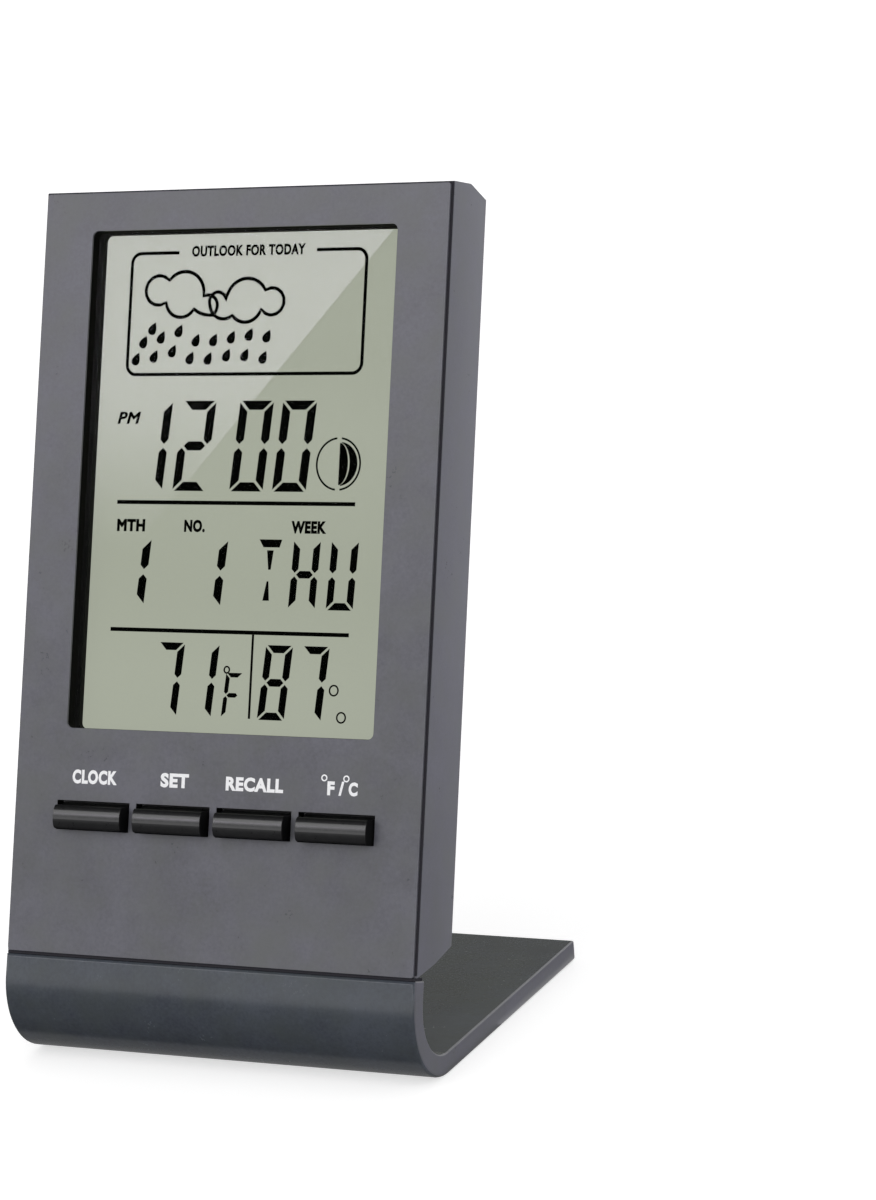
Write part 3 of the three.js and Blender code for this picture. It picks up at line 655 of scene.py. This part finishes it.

# Each bar stands proud of the plate: glossy crown; its top, foot and ends are painted darker shade, chosen
# by the way each face looks.
# Solid is the half height of the solid's crown and how far it stands out. The profile gives both
# for the real crown, at every step of 9 degrees from its foot to its middle.
bar = {
    "names": ["mode", "set", "memory", "unit"], "solid": (2.25, 1.8), "inFront": 2.1,
    "centre": 21.48, "shift": -0.28, "left": 5.7, "right": 6.06, "step": 9,
    "profile": [(1.85, 0), (1.85, 0.6), (1.85, 1.2), (1.85, 1.7), (1.79, 1.93), (1.64, 2.11),
                (1.38, 2.24), (1.07, 2.34), (0.74, 2.43), (0.38, 2.48), (0, 2.5)],
    "edge": 0.42, "edgeFrom": -1.6, "endwards": 0.6, "upwards": 0.28, "downwards": -0.1,
}
for name in bar["names"]:
    bm = cadCopy(name + "_button")
    inFront = [vert for vert in bm.verts if headPointOf(vert).y < bar["inFront"]]
    across = [headPointOf(vert).x for vert in inFront]
    middle = (min(across) + max(across)) / 2
    for vert in inFront:
        place = headPointOf(vert)
        rise, proud = place.z - bar["centre"], max(-place.y, 0)
        turn = math.degrees(math.atan2(proud / bar["solid"][1], abs(rise) / bar["solid"][0]))
        height, depth = bar["profile"][round(turn / bar["step"])]
        place.x = middle + (bar["right"] if place.x > middle else -bar["left"])
        place.z = bar["centre"] + bar["shift"] + math.copysign(height, rise)
        place.y = -depth if proud > 0 else place.y
        putInHead(vert, place)
    softenEdges(bm, bar["edge"], lambda vert: headPointOf(vert).y < bar["edgeFrom"], segments=4)
    bm.normal_update()
    # painted shade: faces that look to the ends, up or down take darker copies of the button plastic
    for face in bm.faces:
        up = face.normal.dot(upAxis)
        if abs(face.normal.x) > bar["endwards"]:
            face.material_index = 2
        elif up > bar["upwards"]:
            face.material_index = 1
        elif up < bar["downwards"]:
            face.material_index = 3
    extras = [buttonTopShade, buttonEndShade, buttonFootShade]
    addPiece(name + "_bar", bm, buttonPlastic, name + "_button", [name + "_button"], extras)
print("case, stand and buttons dressed")

# dark strip in the gap between the face plate and the case: its dark grey is painted shade of the parting
# line
seal = {"halfWidth": 35.1, "low": 0.35, "high": 119.56, "wall": 0.5, "front": 0.42, "depth": 0.25}


def boxCorners(left, right, low, high):
    # an upright rectangle, as points (across, up)
    return [(left, low), (right, low), (right, high), (left, high)]


def roundCorners(left, right, low, high, turn, steps):
    # the four round corners of an upright rectangle, clockwise from the upper right
    points = []
    for across, up, start in ((right - turn, high - turn, 90), (right - turn, low + turn, 0),
                              (left + turn, low + turn, -90), (left + turn, high - turn, 180)):
        points += arc((across, up), (turn, turn), start, start - 90, steps)
    return points


bm = bmesh.new()
corners = boxCorners(-seal["halfWidth"], seal["halfWidth"], seal["low"], seal["high"])
addRing(bm, corners, seal["front"], seal["depth"], seal["wall"])
addPiece("parting_shade_strip", onHead(bm), partingShade, "head")

# black sleeves that line the window opening and the button slots behind the plate's front edge; in the
# button slots the black is painted shade of the gaps round the bars
sleeve = {
    "halfWidth": 26.38, "low": 35.0, "high": 113.28, "corner": 0.98, "front": 0.35, "depth": 1.63,
    "wall": 0.12,
}
bm = bmesh.new()
half = sleeve["halfWidth"]
corners = roundCorners(-half, half, sleeve["low"], sleeve["high"], sleeve["corner"], steps=5)
addRing(bm, corners, sleeve["front"], sleeve["depth"], sleeve["wall"])
lining = addPiece("window_sleeve", onHead(bm), sleeveBlackAndShade, "head")

# painted shade: black sleeves in the button slots
slots = {
    "centres": (-20.945, -6.98, 6.98, 20.945), "half": 6.39, "low": 19.215, "high": 23.775,
    "front": 0.12, "depth": 1.8, "wall": 0.06,
}
bm = bmesh.new()
for middle in slots["centres"]:
    corners = boxCorners(middle - slots["half"], middle + slots["half"], slots["low"], slots["high"])
    addRing(bm, corners, slots["front"], slots["depth"], slots["wall"])
addPiece("slot_sleeves", onHead(bm), sleeveBlackAndShade, "head")

# the display's gloss mirrors the room, not the frame round it
for piece in (moulding, lining, frame["nodes"]["lcd_holder"]):
    piece.visible_glossy = False

# strip on the stand's upper edge whose dark grey is painted shade of the seam under the head
seamStrip = {"halfWidth": 34.95, "front": 0.3, "back": 3.1, "low": -0.48, "high": -0.005}
bm = bmesh.new()
corners = boxCorners(-seamStrip["halfWidth"], seamStrip["halfWidth"], seamStrip["low"], seamStrip["high"])
addPlate(bm, corners, seamStrip["front"], seamStrip["back"] - seamStrip["front"])
addPiece("seam_shade_strip", onHead(bm), partingShade, "stand")

# what the display shows
ink = {"front": 5.165, "thick": 0.03, "line": 0.62}
segments = {
    "0": "abcdef", "1": "bc", "2": "abged", "7": "abc", "8": "abcdefg",
    "F": "afge", "H": "fegbc", "U": "fedcb",
}


def addInk(bm, corners):
    addPlate(bm, corners, ink["front"], ink["thick"])


def addInkLine(bm, path, width, closed=False):
    addStroke(bm, path, width, ink["front"], ink["thick"], closed)


def addInkWords(bm, words, across, up, bold, slant=0.0):
    addLettering(bm, words, across, up, ink["front"], ink["thick"], bold, slant)


def segmentCorners(kind, wide, high, thick, gap):
    # one bar of a seven-bar figure, in a cell that starts at 0, 0
    middle, half = high / 2, thick / 2
    left = [(0, high - gap), (thick, high - thick - gap), (thick, middle + half + gap),
            (half, middle + gap), (0, middle + half + gap)]
    top = [(gap, high), (wide - gap, high), (wide - thick - gap, high - thick), (thick + gap, high - thick)]
    across = [(half + gap, middle), (thick + gap, middle + half), (wide - thick - gap, middle + half)]
    bars = {
        "a": top,
        "d": [(x, high - y) for x, y in top],
        "f": left,
        "b": [(wide - x, y) for x, y in left],
        "e": [(x, high - y) for x, y in left],
        "c": [(wide - x, high - y) for x, y in left],
        "g": across + [(wide - x, high - y) for x, y in across],
    }
    return bars[kind]


def addFigures(bm, row):
    for figure, left in row["figures"]:
        for kind in segments[figure]:
            corners = segmentCorners(kind, row["wide"], row["high"], row["thick"], row["gap"])
            addInk(bm, [(left + x + y * row["slant"], row["low"] + y) for x, y in corners])


def displayPiece(name, bm):
    addPiece(name, onHead(bm), segmentInk, "head")


clock = {
    "figures": [("1", -20.35), ("2", -12.7), ("0", -2.69), ("0", 4.73)],
    "wide": 5.8, "high": 14.15, "low": 72.85, "thick": 1.42, "gap": 0.3, "slant": 0.087,
}
bm = bmesh.new()
addFigures(bm, clock)
displayPiece("clock_figures", bm)

dayMark = {"words": "PM", "across": (-23.1, -18.95), "up": (83.4, 85.3), "bold": 0.032, "slant": 0.22}
bm = bmesh.new()
addInkWords(bm, *dayMark.values())
displayPiece("day_half_mark", bm)

date = {
    "figures": [("1", -21.1), ("1", -7.6)],
    "wide": 4.3, "high": 10.75, "low": 54.7, "thick": 1.4, "gap": 0.4, "slant": 0.087,
}
bm = bmesh.new()
addFigures(bm, date)
displayPiece("date_figures", bm)

weekday = {
    "figures": [("H", 8.5), ("U", 14.95)],
    "wide": 4.55, "high": 10.75, "low": 54.7, "thick": 1.14, "gap": 0.28, "slant": 0.05,
}
letterT = {
    "bar": [(3.05, 65.43), (6.95, 65.43), (6.55, 64.21), (3.8, 64.21)],
    "stem": [(4.44, 63.75), (5.56, 63.75), (5.2, 60.75), (4.78, 60.75)],
    "foot": [(4.05, 55.95), (4.62, 58.95), (4.92, 58.95), (5.15, 55.95)],
}
bm = bmesh.new()
addFigures(bm, weekday)
for corners in letterT.values():
    addInk(bm, corners)
displayPiece("weekday_letters", bm)

labels = {
    "rows": [("MTH", (-22.2, -17.2)), ("NO.", (-10.25, -6.6)), ("WEEK", (8.4, 14.4))],
    "up": (66.4, 68.35), "bold": 0.055,
}
bm = bmesh.new()
for words, across in labels["rows"]:
    addInkWords(bm, words, across, labels["up"], labels["bold"])
displayPiece("date_labels", bm)

rules = {
    "left": -22.4, "right": 19.08, "upper": 71.02, "lower": 50.95,
    "divider": 2.74, "dividerHalf": 0.19, "dividerFoot": 37.65, "dividerGap": 0.01,
}
bm = bmesh.new()
half = ink["line"] / 2
for height in (rules["upper"], rules["lower"]):
    addInk(bm, boxCorners(rules["left"], rules["right"], height - half, height + half))
left, right = rules["divider"] - rules["dividerHalf"], rules["divider"] + rules["dividerHalf"]
addInk(bm, boxCorners(left, right, rules["dividerFoot"], rules["lower"] - half - rules["dividerGap"]))
displayPiece("display_rules", bm)

climate = {
    "figures": [("7", -14.64), ("1", -8.58), ("8", 4.1), ("7", 10.34)],
    "wide": 4.62, "high": 11.55, "low": 37.55, "thick": 1.18, "gap": 0.27, "slant": 0.087,
}
bm = bmesh.new()
addFigures(bm, climate)
displayPiece("climate_figures", bm)

units = {
    "degree": (-1.51, 45.1), "degreeRadii": (0.45, 0.5), "line": 0.3,
    "rings": [(16.99, 42.44), (18.44, 38.34)], "ringRadii": (0.72, 0.78),
}
smallF = {
    "figures": [("F", -2.15)],
    "wide": 2.9, "high": 6.95, "low": 37.7, "thick": 0.7, "gap": 0.16, "slant": 0.087,
}
bm = bmesh.new()
addFigures(bm, smallF)
addInkLine(bm, ellipse(units["degree"], units["degreeRadii"], steps=20), units["line"], True)
for ring in units["rings"]:
    addInkLine(bm, ellipse(ring, units["ringRadii"], steps=24), units["line"], True)
displayPiece("unit_marks", bm)

moon = {
    "centre": (15.9, 77.2), "rim": (3.68, 3.98), "rimArcs": [(-84, 84), (96, 264)], "line": 0.34,
    "inside": (16.02, 77.2), "half": (1.5, 3.25), "outer": (3.1, 3.4), "inner": (1.78, 3.28),
}
bm = bmesh.new()
for start, stop in moon["rimArcs"]:
    addInkLine(bm, arc(moon["centre"], moon["rim"], start, stop, steps=28), moon["line"])
addInk(bm, arc(moon["inside"], moon["half"], -90, 90, steps=16))
crescent = arc(moon["inside"], moon["outer"], -84, 84, steps=18)
crescent += arc(moon["inside"], moon["inner"], 80, -80, steps=16)
addInk(bm, crescent)
displayPiece("moon_phase", bm)

outlook = {
    "left": -21.9, "right": 19.03, "low": 91.2, "high": 110.45, "corner": 1.6, "gap": (-13.6, 10.45),
    "words": "OUTLOOK FOR TODAY", "across": (-11.35, 8.5), "up": (109.75, 111.5), "bold": 0.045,
}
bm = bmesh.new()
left, right, low, high, turn = (outlook[key] for key in ("left", "right", "low", "high", "corner"))
path = [(outlook["gap"][1], high)]
path += roundCorners(left, right, low, high, turn, steps=8)
path += [(outlook["gap"][0], high)]
addInkLine(bm, path, ink["line"])
addInkWords(bm, outlook["words"], outlook["across"], outlook["up"], outlook["bold"])
displayPiece("outlook_frame", bm)

clouds = {
    "line": 0.66,
    "left": [(-15.5, 102.6), (-19.2, 104.8), (-15.1, 106.1), (-11.7, 107.4), (-8.9, 103.5),
             (-6.4, 102.1), (-7.2, 100.5), (-9.0, 100.7), (-10.5, 101.5), (-12.8, 100.2)],
    "right": [(-4.9, 102.8), (-6.6, 104.1), (-7.7, 102.0), (-6.5, 100.2), (-3.7, 100.4),
              (-1.3, 99.3), (1.3, 101.3), (5.2, 102.8), (1.9, 104.3), (-1.4, 106.2)],
}
bm = bmesh.new()
for points in (clouds["left"], clouds["right"]):
    path = []
    for i in range(0, len(points), 2):
        path += lobe(points[i], points[i + 1], points[(i + 2) % len(points)])
    addInkLine(bm, path, clouds["line"], True)
displayPiece("outlook_clouds", bm)

rain = {
    "upper": {"start": -19.1, "pitch": 3.1, "up": 96.9, "rise": [-0.5, 0.2, 1.2, -0.3, -0.3, 0.1, 0.5, 0.2]},
    "lower": {"start": -20.3, "pitch": 3.2, "up": 94.1, "rise": [-0.4, 0, 0.8, -0.3, -0.4, 0.1, 0.1, -0.3]},
    "extra": (-17.6, 98.5), "half": 0.96, "length": 2.15, "pointed": 1.2, "tilt": -24, "steps": 18,
}


def addDrop(bm, centre):
    tilt = math.radians(rain["tilt"])
    corners = []
    for i in range(rain["steps"]):
        around = 2 * math.pi * i / rain["steps"]
        x = rain["half"] * math.sin(around) * math.sin(around / 2) ** rain["pointed"]
        y = rain["length"] / 2 * math.cos(around)
        corners.append((centre[0] + x * math.cos(tilt) - y * math.sin(tilt),
                        centre[1] + x * math.sin(tilt) + y * math.cos(tilt)))
    addInk(bm, corners)


bm = bmesh.new()
addDrop(bm, rain["extra"])
for row in (rain["upper"], rain["lower"]):
    for i, rise in enumerate(row["rise"]):
        addDrop(bm, (row["start"] + row["pitch"] * i, row["up"] + rise))
displayPiece("outlook_rain", bm)
print("display content drawn")

# printed names of the buttons
prints = {
    "front": -0.02, "thick": 0.03, "bold": 0.05,
    "words": [
        ("CLOCK", (-24.86, -16.95), (26.44, 28.65)),
        ("SET", (-9.3, -4.4), (26.48, 28.72)),
        ("RECALL", (2.0, 11.8), (26.45, 28.62)),
        ("F", (19.2, 20.4), (26.5, 28.6)),
        ("/", (21.1, 22.0), (26.5, 28.65)),
        ("C", (22.75, 24.25), (26.5, 28.6)),
    ],
    "rings": [(18.62, 29.08), (22.3, 29.08)], "ringRadii": (0.42, 0.42), "ringLine": 0.24,
}
bm = bmesh.new()
for words, across, up in prints["words"]:
    addLettering(bm, words, across, up, prints["front"], prints["thick"], prints["bold"])
for ring in prints["rings"]:
    path = ellipse(ring, prints["ringRadii"], steps=20)
    addStroke(bm, path, prints["ringLine"], prints["front"], prints["thick"], True)
addPiece("button_prints", onHead(bm), printInk, "head")

# finishes of the solids that stay
finishOf = {
    "display_window": windowClear, "lcd_holder": holderPlastic, "lcd_glass": displayGlass,
    "lcd_reflector": foilMetal, "zebra_connector": zebraRubber, "circuit_board": boardLaminate,
    "controller_chip": resinBlack, "quartz_crystal": brightMetal, "filter_capacitor": brassMetal,
    "reset_capacitor": brassMetal, "humidity_sensor": sensorWhite, "temperature_sensor": resinBlack,
    "alarm_buzzer": brassMetal, "battery_cell": cellSleeve, "battery_spring": brightMetal,
    "negative_contact": brightMetal, "positive_contact": brightMetal,
    "hinge_pin_left": zincSteel, "hinge_pin_right": zincSteel,
}
for name in bar["names"]:
    finishOf[name + "_plunger"] = sensorWhite
    finishOf[name + "_switch"] = zincSteel
for level in ("lower", "upper"):
    for side in ("left", "right"):
        finishOf[f"case_screw_{level}_{side}"] = zincSteel
        finishOf[f"board_screw_{level}_{side}"] = zincSteel
for name, finish in finishOf.items():
    mesh = frame["nodes"][name].data
    mesh.materials.clear()
    mesh.materials.append(finish)
print("solids with a finish of their own:", len(finishOf))

# camera
viewer = {
    "place": (244.108, -469.217, 186.495),
    "right": (0.91418, 0.398, -0.07666),
    "up": (-0.02047, 0.23423, 0.97196),
    "back": (0.4048, -0.88698, 0.22228),
    "lens": 103.375, "sensor": 36, "clip": (10, 50000),
}
camera = bpy.data.objects.new("camera", bpy.data.cameras.new("camera"))
scene.collection.objects.link(camera)
camera.matrix_world = Matrix((viewer["right"], viewer["up"], viewer["back"])).transposed().to_4x4()
camera.location = Vector(viewer["place"]) * mm
camera.data.lens = viewer["lens"]
camera.data.sensor_width = viewer["sensor"]
camera.data.clip_start, camera.data.clip_end = (limit * mm for limit in viewer["clip"])
scene.camera = camera

# floor, studio light and background
studio = {
    "floorSize": 40.0, "room": 0.42,
    "suns": [  # turn to the right of the front and height in degrees, level, softness in degrees
        {"turn": -12, "height": 32, "level": 0.4, "soft": 70},
        {"turn": 80, "height": 18, "level": 0.3, "soft": 60},
        {"turn": -165, "height": 8, "level": 0.4, "soft": 50},
    ],
}


def unlessSeen(finish):
    # 1 where the camera, a gloss or clear glass looks, 0 for light that spreads
    eye, gloss, glass = (finish.node("ShaderNodeLightPath", output=name) for name in
                         ("Is Camera Ray", "Is Glossy Ray", "Is Transmission Ray"))
    return (eye + gloss + glass).clamped()


def addSheet(name, corners, finish):
    # a flat thing of the studio
    bm = bmesh.new()
    bm.faces.new([bm.verts.new(corner) for corner in corners])
    mesh = bpy.data.meshes.new(name)
    bm.to_mesh(mesh)
    bm.free()
    mesh.materials.append(finish)
    sheet = bpy.data.objects.new(name, mesh)
    scene.collection.objects.link(sheet)
    return sheet


def addCard(name, corners, finish):
    # a card or panel that only gloss sees
    card = addSheet(name, corners, finish)
    card.visible_camera = card.visible_diffuse = False
    card.visible_shadow = card.visible_transmission = False


room = bpy.data.worlds.new("studio")
scene.world = room
finish = Finish("studio", room)
level = studio["room"] + unlessSeen(finish) * (1 - studio["room"])
glow = finish.node("ShaderNodeBackground", None, {"Color": (1, 1, 1, 1), "Strength": level})
finish.node("ShaderNodeOutputWorld", None, {"Surface": glow})

paper = {
    "dark": (0.63, 0.63, 0.63, 1), "light": (0.65, 0.65, 0.65, 1), "glow": 0.62,
    "spread": (0.5, 0.5, 0.51, 1),
}
finish = Finish("pale floor")
mottle = finish.noise(30, detail=3, roughness=0.5)
seen = finish.surface(
    Base_Color=finish.mix(mottle, paper["dark"], paper["light"]),
    Roughness=0.9,
    Specular_IOR_Level=0.0,
    Emission_Color=(1, 1, 1, 1),
    Emission_Strength=paper["glow"],
)
spread = finish.node("ShaderNodeBsdfDiffuse", None, {"Color": paper["spread"]})
links = {0: unlessSeen(finish), 1: spread, 2: seen}
pale = finish.finishAs(finish.node("ShaderNodeMixShader", None, links))
reach = studio["floorSize"] / 2
addSheet("floor", [(-reach, -reach, 0), (reach, -reach, 0), (reach, reach, 0), (-reach, reach, 0)], pale)

for index, sun in enumerate(studio["suns"]):
    lamp = bpy.data.lights.new(f"sun {index + 1}", "SUN")
    lamp.energy = sun["level"] * math.pi
    lamp.angle = math.radians(sun["soft"])
    turn, height = math.radians(sun["turn"]), math.radians(sun["height"])
    outward = math.cos(height)
    towards = Vector((math.sin(turn) * outward, -math.cos(turn) * outward, math.sin(height)))
    holder = bpy.data.objects.new(lamp.name, lamp)
    holder.rotation_mode = "QUATERNION"
    holder.rotation_quaternion = towards.to_track_quat("Z", "Y")
    holder.visible_glossy = False
    scene.collection.objects.link(holder)

# What the gloss sees: a bright wall in front that steps up with height, dark and grey cards round it.
wall = {
    "front": -1.25, "foot": 0.02, "top": 1.4, "left": -1.7, "right": 0.7,
    "base": 1.0, "steps": [(0.38, 0.45, -0.7), (0.53, 0.68, 1.53), (0.82, 1.0, 0.55)],
}
shades = {"dark": (0.02, 0.02, 0.02, 1), "near": (0.28, 0.28, 0.28, 1), "rear": (0.25, 0.25, 0.215, 1)}
mats = {"height": 0.0003, "front": -0.03, "back": 0.0, "side": 0.036, "sideReach": 1.2, "sideBack": 1.6}
side = {"levels": (0.4, 0.68), "across": (0.055, 0.12), "tint": (1, 1, 1.13, 1)}
behind = {"right": -0.1, "depth": 1.0, "foot": 0.01, "top": 0.8}


def glowing(finish, colour, strength):
    return finish.finishAs(finish.node("ShaderNodeEmission", None, {"Color": colour, "Strength": strength}))


def addUprightCard(name, left, right, depth, low, high, finish):
    addCard(name, [(u, depth, v) for u, v in boxCorners(left, right, low, high)], finish)


def addLevelCard(name, left, right, front, back, height, finish):
    addCard(name, [(u, v, height) for u, v in boxCorners(left, right, front, back)], finish)


finish = Finish("bright wall")
rising = finish.axis(finish.place(), 2)
strength = wall["base"]
for start, stop, gain in wall["steps"]:
    strength = strength + finish.ramp(rising, (start, stop), (0.0, gain))
bright = glowing(finish, (1, 1, 1, 1), strength)
dark, closeBy, rear = (glowing(Finish(name + " card"), colour, 1.0) for name, colour in shades.items())
finish = Finish("grey mat")
strength = finish.ramp(finish.axis(finish.place(), 0), side["across"], side["levels"])
grey = glowing(finish, side["tint"], strength)
left, front, foot, top = wall["left"], wall["front"], wall["foot"], wall["top"]
low, edge, corner = mats["height"], mats["front"], mats["side"]
addUprightCard("bright wall", left, wall["right"], front, foot, top, bright)
addUprightCard("dark foot", left, -left, front, 0, foot, dark)
addLevelCard("dark mat", left, -left, front, edge, low, dark)
addLevelCard("near mat", left, corner, edge, mats["back"], low, closeBy)
addLevelCard("grey mat", corner, mats["sideReach"], edge, mats["sideBack"], low, grey)
addLevelCard("dark ceiling", left, -left, front, -front, top, dark)
addUprightCard("rear card", left, behind["right"], behind["depth"], behind["foot"], behind["top"], rear)

# A glare on the display: its slanting edge is the edge of a window, and it fades downwards.
panel = {
    "distance": 900, "depth": 5.2, "level": 3.7,
    "corners": [(-27.5, 58), (-24.1, 58), (24.3, 114.5), (-27.5, 114.5)],
    "fade": (61, 96), "tint": (1.0, 0.9, 1.12, 1),
}
facing = -backAxis
mirrorPoint = seam + backAxis * panel["depth"] * mm
rise = (camera.location - mirrorPoint).dot(facing)
mirrored = camera.location - 2 * rise * facing
stretch = (rise + panel["distance"] * mm) / rise


def seenAt(across, up):
    # where a panel point must be for the camera to find it at this place of the display
    onDisplay = headPlace @ Vector((across * mm, panel["depth"] * mm, up * mm))
    return mirrored + (onDisplay - mirrored) * stretch


finish = Finish("glare panel")
marks = [seenAt(0, up).dot(upAxis) for up in panel["fade"]]
links = {0: finish.place(), 1: tuple(upAxis)}
along = finish.node("ShaderNodeVectorMath", {"operation": "DOT_PRODUCT"}, links, output=1)
strength = finish.ramp(along, marks) * panel["level"]
light = finish.node("ShaderNodeEmission", None, {"Color": panel["tint"], "Strength": strength})
clear = finish.node("ShaderNodeBsdfTransparent", None, {"Color": (1, 1, 1, 1)})
glow = finish.finishAs(finish.node("ShaderNodeAddShader", None, {0: light, 1: clear}))
addCard("glare panel", [seenAt(*corner) for corner in panel["corners"]], glow)
print("camera, floor and light set")
